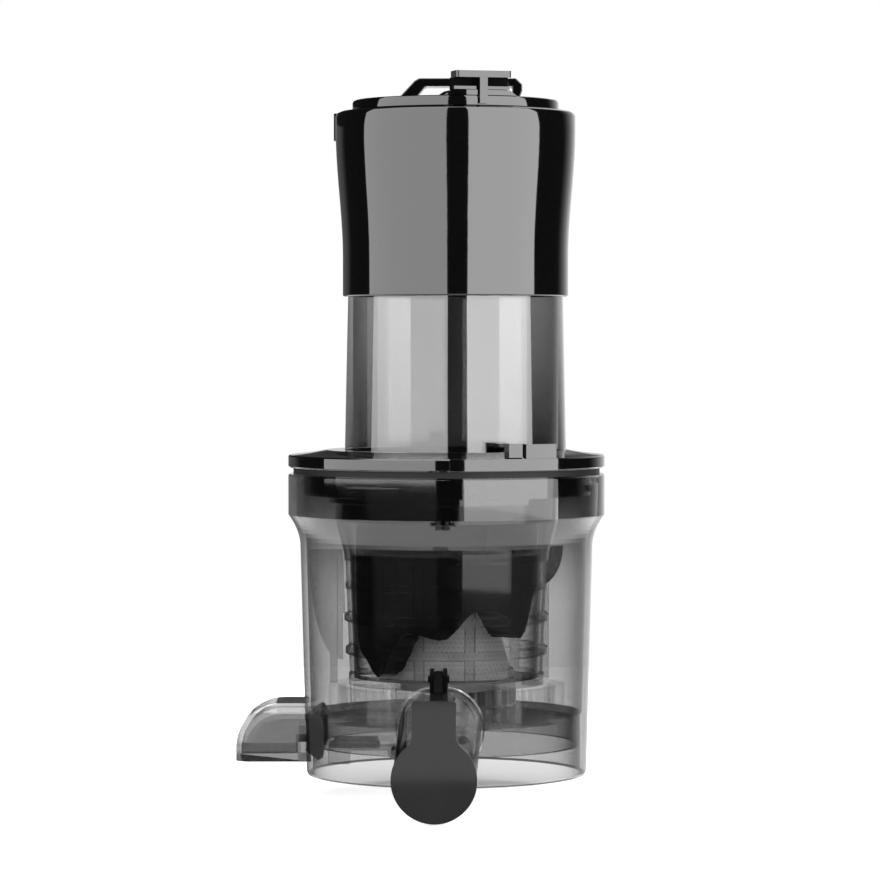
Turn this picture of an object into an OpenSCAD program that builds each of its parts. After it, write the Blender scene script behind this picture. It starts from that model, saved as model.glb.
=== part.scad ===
// Juicing drum assembly of a cold press juicer.
// Frame: drum axis on Z, z = 0 at the drum's lower rim, juice spout towards -Y, pulp chute towards -X.

/* [Drum] */
// Outer radius of the drum at its lower rim
drum_r = 56; // [54:0.5:58]
// Outer radius of the drum just under the shoulder
drum_top_r = 58.4; // [57.5:0.1:59.5]
// Wall thickness of the drum
drum_wall = 2.4; // [2:0.1:2.8]
// Height where the shoulder starts to flare
shoulder_z = 91; // [88:0.5:93]
// Height where the collar starts
collar_z = 103.6; // [101:0.2:106]
// Outer radius of the collar
collar_r = 63.2; // [62.5:0.1:65]
// Height of the drum, up to the collar's top face
drum_h = 120.3; // [119:0.1:124]
// Height of the deck's upper face
deck_z = 25; // [24:0.5:27]
// Thickness of the deck
deck_t = 2.5; // [2:0.1:3]
// Depth of the socket that goes over the motor base
socket_depth = 12; // [10:0.5:13]
// Width of the step that rests on the motor base
step_w = 2.5; // [1.5:0.1:3]

/* [Juice spout] */
// Direction of the spout around the drum axis, in degrees from +X
spout_az = -92.8; // [-100:0.2:-85]
// Height of the spout's axis where it leaves the drum
spout_root_z = 22.6; // [21:0.2:24]
// Distance from the drum axis to the spout's mouth
spout_reach = 96; // [90:1:102]
// Outer radius of the spout
spout_r = 16; // [15:0.2:16.4]
// Wall thickness of the spout
spout_wall = 2.1; // [1.6:0.1:2.6]
// Slope of the spout, in degrees below level
spout_tilt = 19.4; // [16:0.2:20]
// How far the cap's disc stands out past the spout
cap_lip = 0.3; // [0:0.1:1.5]
// Width of the cap's neck
cap_neck_w = 16.5; // [14:0.5:18]
// Height of the top of the cap's neck over the spout's axis at the drum
cap_rise = 15.9; // [15:0.1:16.4]
// Thickness of the cap's plate
cap_t = 3; // [2.5:0.1:4]

/* [Pulp chute] */
// Distance from the drum axis to the chute's end
chute_reach = 83.6; // [80:0.2:88]
// Width of the chute
chute_w = 34; // [32:0.5:38]
// Height of the chute's top face
chute_top_z = 29.6; // [29:0.2:33]
// Height of the chute's lower edge
chute_low_z = 6.5; // [5:0.5:8]
// Wall thickness of the chute
chute_wall = 2.2; // [1.8:0.1:2.4]
// Chamfer along the chute's top edges
chute_chamfer = 4; // [3:0.2:5]

/* [Strainer] */
// Outer radius of the strainer's top rim
rim_r = 44.6; // [44:0.1:45]
// Depth of the strainer's top under the drum's top
strainer_drop = 7.7; // [6.5:0.1:9]
// Height of the strainer's upright rim
rim_h = 10.8; // [10:0.1:12]
// Height of the funnel under the rim
funnel_h = 13.1; // [12:0.1:14]
// Outer radius of the frame at the foot of the funnel
frame_top_r = 41; // [40.6:0.1:41.4]
// Outer radius of the frame at the strainer's floor
frame_low_r = 39; // [38.6:0.1:39.4]
// Thickness of the frame
frame_t = 2.2; // [1.8:0.1:2.4]
// Number of upright bars in the frame
bar_count = 12; // [8:1:16]
// Width of an upright bar
bar_w = 4; // [3:0.2:5]
// Thickness of the perforated screen
screen_t = 0.6; // [0.4:0.1:0.8]

/* [Auger] */
// Gap between the auger's flights and the screen
flight_gap = 0.8; // [0.6:0.1:2.2]
// Depth of the auger's top under the drum's top
auger_drop = 2.3; // [1.3:0.1:6]
// Radius of the auger's core at the bottom
core_low_r = 27; // [24:0.5:29]
// Radius of the auger's core at the top
core_top_r = 12; // [10:0.5:14]
// Radius of the auger's steel shaft
shaft_r = 8; // [7.6:0.1:8.4]
// Number of flights
flight_count = 3; // [2:1:4]

/* [Gears] */
// Gear module, pitch diameter over number of teeth
gear_module = 1.5; // [1.45:0.01:1.52]
// Face width of the gears
gear_face = 8; // [6:0.5:9]
// Direction of the idler around the drum axis, in degrees from +X
idler_az = 60; // [45:1:75]
// Backlash taken off each tooth
backlash = 0.3; // [0.2:0.05:0.4]

/* [Wiper] */
// Wall of the wiper's ring outside its teeth
ring_wall = 3.5; // [3:0.1:4.5]
// Height of the top of the wiper's ring over the deck
ring_h = 11; // [10.2:0.1:11.2]
// Depth of the top of the wiper's blades under the shoulder
wiper_drop = 1; // [0.5:0.5:7]
// Directions of the long and the short blade, in degrees from +X
blade_az = [180, 31];
// Heights of the lower ends of the long and the short blade over the strainer's floor
blade_low = [9.5, 36.9];
// Thickness of a wiper blade
blade_t = 1.8; // [1.2:0.1:2.4]

/* [Cover] */
// Radius of the cover's flange
cover_r = 63.2; // [62.5:0.1:65]
// Height of the gap between the drum and the cover
cover_gap = 2.6; // [2.4:0.1:3]
// Thickness of the cover's flange
cover_t = 5; // [4:0.2:6]
// Sideways offset of the feed tube from the drum axis
tube_x = 3.6; // [2:0.1:4]
// Inner radius of the feed tube
tube_bore_r = 41; // [40:0.1:41.4]
// Wall thickness of the feed tube at its foot
tube_low_wall = 3.2; // [2.4:0.1:3.5]
// Wall thickness of the feed tube at its top
tube_top_wall = 1.9; // [1.6:0.1:2.1]
// Height of the feed tube over the flange's edge
tube_h = 132.1; // [128:0.1:134]
// Height of the lock tab over the flange's edge
tab_h = 5.6; // [4:0.1:6]
// How far the lock tab's lug stands out past the flange
lug_out = 1.2; // [0.8:0.1:1.6]

/* [Hopper] */
// Length of the sleeve below the feed tube's top
sleeve_l = 69; // [63:0.5:75]
// Height of the hopper's mouth over the feed tube's top
mouth_h = 4.4; // [4.2:0.1:7]
// How much the sleeve's radius grows to the top
sleeve_flare = 2.8; // [1.6:0.1:4]
// Wall thickness of the sleeve
sleeve_wall = 1.7; // [1.5:0.1:1.8]

/* [Lid] */
// How far the lid's disc reaches past the mouth's edge
lid_over = 0.9; // [0.6:0.1:1.8]
// Thickness of the lid's disc
lid_t = 4.2; // [3.6:0.1:5]
// Height of the latch's boss on the lid
boss_h = 2; // [1.6:0.1:2.4]
// Height of the latch's plate over the lid
plate_h = 6.7; // [6.5:0.1:7.5]
// Direction of the latch, in degrees right of straight ahead
latch_turn = 14.5; // [10:0.5:22]
// Width of the latch's plate
latch_w = 22.4; // [20:0.2:28]
// Length of the grip loop
grip_l = 47; // [42:0.5:50]
// Width of the grip loop
grip_w = 13; // [10:0.5:18]
// Height of the grip loop over the disc
grip_h = 8.7; // [7:0.1:9]

/* [Fits] */
// Radial running clearance of shafts and pins
run_gap = 0.08; // [0.05:0.01:0.1]
// Gap between pieces that move past each other
slide_gap = 0.4; // [0.3:0.05:0.5]
// Radius of the small hinge pins
pin_r = 1.3; // [1.2:0.1:1.5]

/* [Hidden] */
$fn = 96;
// Length of a cut that goes right through a small piece
through = 40;

// Outer radius of the drum's tapered wall at height z
function drum_out(z) = drum_r + (drum_top_r - drum_r) * z / shoulder_z;
// Outer radius of the strainer's frame at height z
function frame_out(z) = z >= cone_z ? frame_top_r + (rim_r - frame_top_r) * (z - cone_z) / (rim_z - cone_z)
    : frame_low_r + (frame_top_r - frame_low_r) * (z - floor_z) / (cone_z - floor_z);
// A smooth step from 0 to 1
function smooth(t) = t * t * (3 - 2 * t);
// Points of a parabola from [r0, z0], upright there, out to [r1, z1]
function flare(r0, z0, r1, z1, n) =
    [for (i = [0:n]) let (t = i / n) [r0 + (r1 - r0) * t * t, z0 + (z1 - z0) * t]];

// Strainer and auger
wiper_ring_top = deck_z + ring_h;
wiper_top_z = shoulder_z - wiper_drop;
floor_z = wiper_ring_top + 0.5;
floor_t = 2.5;
strainer_top_z = drum_h - strainer_drop;
rim_z = strainer_top_z - rim_h;
cone_z = rim_z - funnel_h;
auger_top_z = drum_h - auger_drop;
flight_top_r = frame_top_r - frame_t - screen_t - flight_gap;
flight_low_r = frame_low_r - frame_t - screen_t - flight_gap;
rib_h = 0.9;
wipe_gap = 0.4;
bar_az = -76.4;
// Gears: the auger's gear drives the idler, and the idler drives the wiper's ring
sun_teeth = 24;
idler_teeth = 16;
ring_teeth = sun_teeth + 2 * idler_teeth;
idler_d = gear_module * (sun_teeth + idler_teeth) / 2;
idler_pin_r = 2.5;
idler_boss_r = 5;
tooth_tip = 0.9;
tooth_root = 1.15;
gear_z = deck_z + 1;
sun_tip = gear_module * (sun_teeth / 2 + 1);
idler_tip = gear_module * (idler_teeth / 2 + 1);
ring_tip = gear_module * (ring_teeth / 2 - 1);
wiper_ring_r = gear_module * (ring_teeth / 2 + tooth_root) + ring_wall;
// Pulp way: hole in the deck, channel under it, clean-out hole in the channel's floor
pulp_x0 = ring_tip - 3.5;
pulp_x1 = sun_tip + 5.5;
pulp_w = 13;
channel_w = 24;
channel_wall = 2.2;
channel_z = socket_depth + 0.5;
channel_end = pulp_x1 - 4;
plug_x0 = 46;
plug_x1 = pulp_x1 + 2;
plug_w = 17;
plug_lip = 1;
plug_low_z = channel_z - 0.3 - plug_lip;
lever_pin_x = channel_end;
lever_pin_z = socket_depth - 3;
lever_w = 10;
lever_eye_w = 12;
lever_t = 1.5;
lever_z = plug_low_z - lever_t;
lever_tab_z = 4.2;
ear_t = 2.4;
ear_r = 2.8;
ear_y = lever_eye_w / 2 + 0.3 + ear_t / 2;
// Hub in the deck
hub_r = shaft_r + 5;
hub_z = socket_depth + 1;
seal_r = shaft_r + 3.5;
seal_h = 4.5;
// Cover heights
cover_z = drum_h + cover_gap;
cover_top = cover_z + cover_t;
tube_low_r = tube_bore_r + tube_low_wall;
tube_top_r = tube_bore_r + tube_top_wall;
tube_top_z = cover_top + tube_h;
cover_rise = 2;
centring_gap = 0.6;
skirt_r = collar_r - drum_wall - 3.4;
skirt_wall = 2.2;
skirt_z = cover_z - 10.9;
lug_count = 3;
lug_angle = 24;
lug_h = 2.5;
lug_z = drum_h - 6.8;
// Lock tab: left end of the lug, left end of the small block, left and right end of the tab
lock_az = [-89, -67.5, -61.5, -48];
// Hopper and lid
sleeve_bore_r = tube_top_r + slide_gap;
sleeve_low_r = sleeve_bore_r + sleeve_wall;
sleeve_top_r = sleeve_low_r + sleeve_flare;
sleeve_low_z = tube_top_z - sleeve_l;
sleeve_top_z = tube_top_z + mouth_h;
mouth_r = tube_bore_r - 0.8;
lid_r = mouth_r + lid_over;
lid_z = sleeve_top_z + 0.3;
lid_top = lid_z + lid_t;
lid_pin_y = sleeve_top_r - 0.6;
lid_pin_z = lid_z + 3.4;
knuckle_r = 2.7;
ear_w = 3;
knuckle_w = 11;
rib_w = 6;
latch_pin_y = 29;
latch_pin_z = lid_top + 3.3;
latch_ear_w = 3;
latch_ear_r = 2.6;
web_w = 3.4;
// Spout and its cap: local frames have X outwards along the spout
spout_drop = tan(spout_tilt);
mouth_z = spout_root_z - (spout_reach - drum_r) * spout_drop;
cap_r = spout_r + cap_lip;
cap_top_z = spout_root_z + cap_rise;
cap_pin_x = drum_r + 7.5;
cap_pin_z = spout_root_z + 21;
cap_back = spout_reach + 1.5;
post_w = 6.6;
post_round = 3;
cap_eye_r = 3;
stem_w = 3.2;
arm_t = 2;

// One gear tooth's flank points, as an involute from the base circle to the tip
function involute(rb, r) = let (a = sqrt(max(0, r * r / (rb * rb) - 1)) * 180 / PI) a - atan(a * PI / 180);
function flank_angle(teeth, rb, rp, r) =
    90 / teeth - backlash / 2 / rp * 180 / PI + involute(rb, rp) - involute(rb, r);
// Outline of a gear; tip_k and root_k are the heights over and under the pitch circle, in modules
function gear_points(teeth, tip_k, root_k) =
    let (rp = gear_module * teeth / 2, rb = rp * cos(20), n = 4,
         r0 = rp - root_k * gear_module, r1 = rp + tip_k * gear_module)
    [for (t = [0:teeth - 1], side = [-1, 1], i = [0:n])
        let (k = side < 0 ? i : n - i, r = r0 + (r1 - r0) * k / n,
             a = 360 * t / teeth + side * flank_angle(teeth, rb, rp, max(r, rb)))
        [r * cos(a), r * sin(a)]];

module spout_frame() rotate([0, 0, spout_az]) children();

module ring(r1, r0, z0, z1) rotate_extrude() translate([r0, z0]) square([r1 - r0, z1 - z0]);

// A block of a ring between two angles
module arc_block(r1, r0, z0, z1, a0, a1)
    rotate([0, 0, a0]) rotate_extrude(angle = a1 - a0) translate([r0, z0]) square([r1 - r0, z1 - z0]);

// A bar along Y with its ends at +-w/2, from x0 to x1 and z0 to z1, with round upright edges
module slot_block(x0, x1, w, z0, z1, r) translate([0, 0, z0]) linear_extrude(z1 - z0) {
    translate([x0 + r, -w / 2]) square([x1 - x0 - 2 * r, w]);
    translate([x0, -w / 2 + r]) square([x1 - x0, w - 2 * r]);
    for (x = [x0 + r, x1 - r], y = [-w / 2 + r, w / 2 - r]) translate([x, y]) circle(r);
}

// ---- drum ----

skirt_in_r = drum_out(0) - drum_wall;

module drum_wall_shape() {
    edge = 1.6;
    in_flare = flare(drum_top_r - drum_wall, shoulder_z, collar_r - drum_wall - 0.6, collar_z + 0.4, 8);
    polygon(concat(
        [[skirt_in_r, 0.6], [skirt_in_r + 0.6, 0], [drum_out(0) - edge, 0], [drum_out(0) - 0.45, 0.45],
         [drum_out(edge), edge]],
        flare(drum_top_r, shoulder_z, collar_r - 0.3, collar_z, 8),
        [[collar_r, collar_z + 0.5], [collar_r, drum_h - 0.5], [collar_r - 0.5, drum_h],
         [collar_r - drum_wall, drum_h]],
        [for (i = [0:8]) in_flare[8 - i]],
        [[drum_out(deck_z) - drum_wall, deck_z], [skirt_in_r, deck_z]]));
}

// Window for the pulp, through the wall and the deck's step
module pulp_window() translate([-drum_r - 3, -channel_w / 2, socket_depth + channel_wall])
    cube([12, channel_w, deck_z - deck_t - socket_depth - channel_wall]);

module drum_shell() color([0.35, 0.35, 0.36, 0.55]) difference() {
    union() {
        rotate_extrude() drum_wall_shape();
        for (i = [0:lug_count - 1])
            arc_block(collar_r - drum_wall + 0.3, skirt_r + slide_gap, lug_z + lug_h + slide_gap,
                      lug_z + 2 * lug_h + slide_gap, 120 * i - lug_angle / 2, 120 * i + lug_angle / 2);
    }
    pulp_window();
    // juice window in the wall, inside the spout's root and above the deck
    intersection() {
        spout_frame() translate([drum_r, 0, spout_root_z]) rotate([0, 90 + spout_tilt, 0])
            cylinder(r = spout_r - spout_wall, h = 30, center = true);
        translate([-40, -drum_r - 8, deck_z]) cube([80, 20, 30]);
    }
}

// Deck with the step that rests on the motor base, and the hub
module drum_deck() color([0.35, 0.35, 0.36, 0.55]) difference() {
    rotate_extrude() polygon([
        [skirt_in_r, deck_z], [seal_r, deck_z], [seal_r, deck_z - seal_h],
        [shaft_r + run_gap, deck_z - seal_h], [shaft_r + run_gap, hub_z], [hub_r, hub_z],
        [hub_r, deck_z - deck_t],
        [skirt_in_r - step_w, deck_z - deck_t], [skirt_in_r - step_w, socket_depth],
        [skirt_in_r, socket_depth]]);
    pulp_window();
    // pulp hole
    slot_block(-pulp_x0, -pulp_x1, pulp_w, deck_z - deck_t - 1, deck_z + 1, 3);
    // hole for the idler's pin
    rotate([0, 0, idler_az]) translate([idler_d, 0, deck_z - deck_t - 1])
        cylinder(r = idler_pin_r, h = deck_t + 2);
}

// Ears under the trough that hold the plug's pin
module lever_ears() for (s = [-1, 1]) translate([-lever_pin_x, s * ear_y + ear_t / 2, 0]) rotate([90, 0, 0])
    linear_extrude(ear_t) {
        translate([0, lever_pin_z]) circle(ear_r);
        translate([-ear_r, lever_pin_z]) square([2 * ear_r, channel_z + 0.3 - lever_pin_z]);
    }

// Trough under the deck that carries the pulp to the chute, with a clean-out hole in its floor
module pulp_trough() color([0.35, 0.35, 0.36, 0.55]) difference() {
    union() {
        intersection() {
            translate([-drum_r, -channel_w / 2 - channel_wall, channel_z])
                cube([drum_r - channel_end + channel_wall, channel_w + 2 * channel_wall,
                      deck_z - deck_t - channel_z]);
            cylinder(r = skirt_in_r - step_w, h = deck_z);
        }
        lever_ears();
    }
    translate([-drum_r, -channel_w / 2, socket_depth + channel_wall])
        cube([drum_r - channel_end, channel_w, deck_z]);
    slot_block(-plug_x0, -plug_x1, plug_w, socket_depth - 1, socket_depth + channel_wall + 1, 3);
    translate([-lever_pin_x, 0, lever_pin_z]) rotate([90, 0, 0])
        cylinder(r = pin_r, h = through, center = true);
}

// Solid inside of the drum's outer surface, up to the shoulder
module drum_envelope() cylinder(r1 = drum_out(0), r2 = drum_top_r, h = shoulder_z);

module juice_spout() color([0.35, 0.35, 0.36, 0.55]) difference() {
    intersection() {
        spout_frame() translate([drum_r, 0, spout_root_z]) rotate([0, 90 + spout_tilt, 0]) difference() {
            translate([0, 0, -25]) cylinder(r = spout_r, h = 85);
            translate([0, 0, -26]) cylinder(r = spout_r - spout_wall, h = 87);
        }
        spout_frame() translate([40, -30, -30]) cube([spout_reach - 40, 60, 90]);
    }
    drum_envelope();
}

module chute_side(inset) {
    bend_x = chute_reach - 18.4;
    bend_z = chute_low_z + 5.5;
    polygon(concat([[-50, chute_low_z], [-chute_reach + inset, chute_low_z]],
        [for (i = [0:10]) let (a = 90 * i / 10)
            [-bend_x - (18.4 - inset) * cos(a), bend_z + (chute_top_z - inset - bend_z) * sin(a)]],
        [[-50, chute_top_z - inset]]));
}

// The chute's outside, made smaller all round by inset
module chute_body(inset) hull() {
    side_w = chute_w - 2 * inset;
    rotate([90, 0, 0]) linear_extrude(side_w - 2 * chute_chamfer, center = true) chute_side(inset);
    rotate([90, 0, 0]) linear_extrude(side_w, center = true) chute_side(inset + chute_chamfer);
}

module pulp_chute() color([0.3, 0.3, 0.31, 0.6]) difference() {
    chute_body(0);
    difference() {
        union() {
            chute_body(chute_wall);
            translate([-chute_reach + chute_wall, -chute_w / 2 + chute_wall, chute_low_z - 1])
                cube([chute_reach - chute_wall - drum_r - 3, chute_w - 2 * chute_wall, 8]);
        }
        translate([-drum_r - 3, -chute_w, chute_low_z - 2])
            cube([20, 2 * chute_w, socket_depth + channel_wall - chute_low_z + 2]);
    }
    drum_envelope();
}

module spout_hinge_post() color([0.05, 0.05, 0.05]) spout_frame() difference() {
    foot_z = spout_root_z + 8;
    translate([0, post_w / 2, 0]) rotate([90, 0, 0]) linear_extrude(post_w) {
        translate([cap_pin_x - 4.6, foot_z]) square([8, cap_pin_z - foot_z]);
        translate([cap_pin_x - 1.6, cap_pin_z]) circle(post_round);
        translate([cap_pin_x + 0.4, cap_pin_z + 1]) circle(post_round);
        translate([cap_pin_x - 1.6, cap_pin_z]) square([2, post_round + 1]);
    }
    translate([cap_pin_x - through / 2, -stem_w / 2 - slide_gap / 2, cap_pin_z - cap_eye_r - 2.2])
        cube([through, stem_w + slide_gap, through]);
    translate([drum_r, 0, spout_root_z]) rotate([0, 90 + spout_tilt, 0])
        cylinder(r = spout_r, h = 85, center = true);
    translate([cap_pin_x, 0, cap_pin_z]) rotate([90, 0, 0]) cylinder(r = pin_r, h = through, center = true);
}

module spout_hinge_pin() color("silver") spout_frame() translate([cap_pin_x, 0, cap_pin_z])
    rotate([90, 0, 0]) cylinder(r = pin_r, h = post_w + 1.6, center = true);

module shaft_seal() color([0.75, 0.75, 0.73]) rotate_extrude() polygon([
    [shaft_r + 0.3, deck_z - seal_h + 1], [shaft_r + 2, deck_z - seal_h], [seal_r, deck_z - seal_h],
    [seal_r, deck_z], [seal_r - 1.5, deck_z + 0.5], [shaft_r + 1.5, deck_z + 0.5],
    [shaft_r + 0.3, deck_z - 0.6]]);

module idler_pin() color("silver") rotate([0, 0, idler_az]) translate([idler_d, 0, deck_z - deck_t])
    cylinder(r = idler_pin_r, h = gear_z + gear_face + 0.6 - deck_z + deck_t);

module plug_hinge_pin() color("silver") translate([-lever_pin_x, 0, lever_pin_z])
    rotate([90, 0, 0]) cylinder(r = pin_r, h = 2 * ear_y + ear_t + 0.6, center = true);

// ---- strainer ----

// Heights of the window rows, over the strainer's floor: a rib runs between two rows
window_rows = [[4, 11.6], [15.2, 24.8], [28.4, 38], [40.4, 49.4]];
rib_rows = [13.4, 26.6];

module strainer_wall() rotate_extrude() polygon([
    [sun_tip + 1, deck_z], [sun_tip + 2.6, deck_z], [sun_tip + 2.6, floor_z], [frame_low_r, floor_z],
    [frame_top_r, cone_z], [rim_r, rim_z], [rim_r, strainer_top_z - 0.6], [rim_r - 0.6, strainer_top_z],
    [rim_r - frame_t, strainer_top_z], [rim_r - frame_t, rim_z + 0.6], [frame_top_r - frame_t, cone_z],
    [frame_out(floor_z + floor_t) - frame_t, floor_z + floor_t], [sun_tip + 1, floor_z + floor_t]]);

module strainer_rib(z) rotate_extrude() polygon([
    [frame_out(z) - 1, z - 1.2], [frame_out(z) + rib_h, z - 1.2], [frame_out(z) + rib_h, z + 1.2],
    [frame_out(z) - 1, z + 1.2]]);

module strainer_frame() color([0.12, 0.12, 0.13]) difference() {
    union() {
        strainer_wall();
        for (z = rib_rows) strainer_rib(floor_z + z);
        slot_block(-pulp_x0 - 1.4, -pulp_x1 + 1.4, pulp_w + 2.8, deck_z, floor_z + 1, 4);
    }
    slot_block(-pulp_x0, -pulp_x1, pulp_w, deck_z - 1, floor_z + floor_t + 1, 3);
    rotate([0, 0, idler_az]) translate([idler_d, 0, deck_z - 1])
        cylinder(r = idler_tip + 0.8, h = floor_z - deck_z + 1.4);
    bar_angle = bar_w / frame_low_r * 180 / PI;
    for (i = [0:bar_count - 1], row = window_rows)
        let (a0 = bar_az + 360 / bar_count * i, a1 = a0 + 360 / bar_count)
            arc_block(frame_top_r + 3, frame_low_r - 6, floor_z + row[0], floor_z + row[1],
                      a0 + bar_angle / 2, a1 - bar_angle / 2);
}

module strainer_screen() color([0.7, 0.7, 0.72]) {
    z0 = floor_z + floor_t;
    z1 = cone_z - 1;
    rotate_extrude() polygon([
        [frame_out(z0) - frame_t - screen_t, z0], [frame_out(z0) - frame_t, z0],
        [frame_out(z1) - frame_t, z1], [frame_out(z1) - frame_t - screen_t, z1]]);
}

// ---- gear train ----

module idler_gear() color([0.85, 0.85, 0.82]) rotate([0, 0, idler_az]) translate([idler_d, 0, 0])
    difference() {
        union() {
            translate([0, 0, gear_z]) rotate([0, 0, 180 / idler_teeth]) linear_extrude(gear_face)
                polygon(gear_points(idler_teeth, tooth_tip, tooth_root));
            translate([0, 0, deck_z + slide_gap / 2]) cylinder(r = idler_boss_r, h = 2);
        }
        translate([0, 0, deck_z - 1]) cylinder(r = idler_pin_r + run_gap, h = gear_face + 4);
    }

module auger_gear() color([0.1, 0.1, 0.1]) translate([0, 0, gear_z]) difference() {
    rotate([0, 0, idler_az]) linear_extrude(gear_face)
        polygon(gear_points(sun_teeth, tooth_tip, tooth_root));
    translate([0, 0, -1]) cylinder(r = shaft_r, h = gear_face + 2);
}

module wiper_ring() color([0.12, 0.12, 0.13]) {
    difference() {
        translate([0, 0, deck_z + 0.3]) cylinder(r = wiper_ring_r, h = wiper_ring_top - deck_z - 0.3);
        translate([0, 0, deck_z - 1]) rotate([0, 0, idler_az]) linear_extrude(ring_h + 2)
            polygon(gear_points_inside());
    }
    for (a = blade_az) rotate([0, 0, a]) wiper_arm();
}

// Outline of the space inside the internal gear
function gear_points_inside() =
    let (teeth = ring_teeth, rp = gear_module * teeth / 2, rb = rp * cos(20), n = 4,
         r0 = rp - tooth_tip * gear_module, r1 = rp + tooth_root * gear_module)
    [for (t = [0:teeth - 1], side = [-1, 1], i = [0:n])
        let (k = side < 0 ? i : n - i, r = r0 + (r1 - r0) * k / n,
             a = 360 * (t + 0.5) / teeth
                 + side * (flank_angle(teeth, rb, rp, r) + backlash / rp * 180 / PI))
        [r * cos(a), r * sin(a)]];

arm_r0 = gear_module * ring_teeth / 2 + 1.8;
arm_w = 7;
module wiper_arm() intersection() {
    ring(wiper_ring_r - 0.6, arm_r0, wiper_ring_top - 1, wiper_top_z - 4);
    translate([0, -arm_w / 2, wiper_ring_top - 1]) cube([drum_r, arm_w, wiper_top_z]);
}

// Silicone blades, pulled over the arms: the inner edge wipes the strainer, the outer edge is a free curve
module wiper_blades() color([0.8, 0.8, 0.78, 0.8]) {
    rib_top = floor_z + rib_rows[1] + 1.4;
    for (i = [0, 1]) rotate([0, 0, blade_az[i]]) difference() {
        low_z = floor_z + blade_low[i];
        rib_clear = low_z < rib_top ? rib_h : 0;
        clear_r = frame_out(max(low_z, rib_top)) + rib_clear + wipe_gap;
        tail_r = clear_r + 1.2;
        wide_r = drum_out(wiper_top_z) - drum_wall - 1;
        translate([0, blade_t / 2, 0]) rotate([90, 0, 0]) linear_extrude(blade_t) polygon(concat(
            [[tail_r, low_z], [clear_r, low_z]],
            low_z < rib_top ? [[clear_r, rib_top], [frame_out(rib_top) + wipe_gap, rib_top]] : [],
            [for (z = [cone_z, wiper_top_z]) [frame_out(z) + wipe_gap, z]],
            [for (k = [0:8]) let (a = 90 - 90 * k / 9)
                [tail_r + (wide_r - tail_r) * sin(a), wiper_top_z - (wiper_top_z - low_z) * cos(a)]]));
        wiper_arm();
    }
}

// ---- auger ----

core_h = 60;
foot_z = floor_z + floor_t + slide_gap;
foot_h = 3;

// The flights as one closed skin: upright wings that wrap round the core and end in points
wing_n = 72;
// Lower edge of the wings: direction in degrees from +X, and height over the strainer's floor
wing_edge = [[-180, 22], [-158, 12], [-139, 4], [-116, 22.5], [-93, 19.5], [-70, 31], [-58, 31],
             [-35, 19.3], [-15, 37], [20, 40], [60, 26], [100, 40], [150, 34], [180, 22]];
function wing_low(a, i = 0) =
    a > wing_edge[i + 1][0] ? wing_low(a, i + 1)
        : let (p = wing_edge[i], q = wing_edge[i + 1])
            floor_z + p[1] + (q[1] - p[1]) * smooth((a - p[0]) / (q[0] - p[0]));
function wing_r(z) = flight_low_r + (flight_top_r - flight_low_r) * (z - floor_z) / (auger_top_z - floor_z);
function wing_top(a) =
    let (step = 360 / flight_count, u = (a + 180) / step - floor((a + 180) / step)) auger_top_z - 22 * u;

module auger_wings() {
    inner = shaft_r + 2;
    rows = [for (i = [0:wing_n - 1])
        let (a = 360 * i / wing_n - 180, lo = wing_low(a), hi = wing_top(a), rim = wing_r(hi))
        [[inner, lo, a], [wing_r(lo), lo, a], [rim - 1, hi - 6, a], [rim - 5, hi - 1, a], [inner, hi, a]]];
    pts = [for (row = rows, p = row) [p[0] * cos(p[2]), p[0] * sin(p[2]), p[1]]];
    m = 5;
    faces = [for (i = [0:wing_n - 1], j = [0:m - 1])
        let (i2 = (i + 1) % wing_n, j2 = (j + 1) % m) each
            [[i * m + j, i2 * m + j2, i2 * m + j], [i * m + j, i * m + j2, i2 * m + j2]]];
    polyhedron(pts, faces);
}

module auger_screw() color([0.03, 0.03, 0.03]) difference() {
    union() {
        auger_wings();
        translate([0, 0, auger_top_z - 40]) cylinder(r1 = core_top_r + 2, r2 = core_top_r, h = 40);
    }
    translate([0, 0, floor_z]) cylinder(r1 = core_low_r, r2 = core_top_r - 1, h = core_h);
    translate([0, 0, floor_z]) cylinder(r = core_low_r, h = foot_z + foot_h - floor_z);
    translate([0, 0, floor_z]) cylinder(r = shaft_r, h = core_h + 10);
}

module auger_core() color([0.45, 0.45, 0.46]) difference() {
    union() {
        translate([0, 0, foot_z]) cylinder(r = core_low_r, h = foot_h);
        translate([0, 0, gear_z + gear_face])
            cylinder(r = sun_tip - 1, h = floor_z + floor_t - gear_z - gear_face + 1);
        translate([0, 0, floor_z]) intersection() {
            cylinder(r1 = core_low_r, r2 = core_top_r - 1, h = core_h);
            translate([0, 0, floor_t + slide_gap]) cylinder(r = core_low_r, h = core_h);
        }
    }
    translate([0, 0, deck_z]) cylinder(r = shaft_r, h = deck_z + core_h);
}

shaft_z = hub_z - 0.8;
hex_r = 6.2;
module auger_shaft() color("silver") difference() {
    translate([0, 0, shaft_z]) cylinder(r = shaft_r, h = floor_z + core_h - 2 - hub_z);
    translate([0, 0, shaft_z - 1]) cylinder(r = hex_r, h = 17.8, $fn = 6);
}

// ---- pulp plug ----

module pulp_plug() color([0.3, 0.3, 0.3]) {
    slot_block(-plug_x0 + 0.9, -plug_x1 - slide_gap, plug_w - 2 * slide_gap, plug_low_z + plug_lip,
               socket_depth + channel_wall, 3);
    slot_block(-plug_x0 - 1, -plug_x1 + slide_gap, plug_w + 3, plug_low_z, plug_low_z + plug_lip, 3);
}

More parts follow.
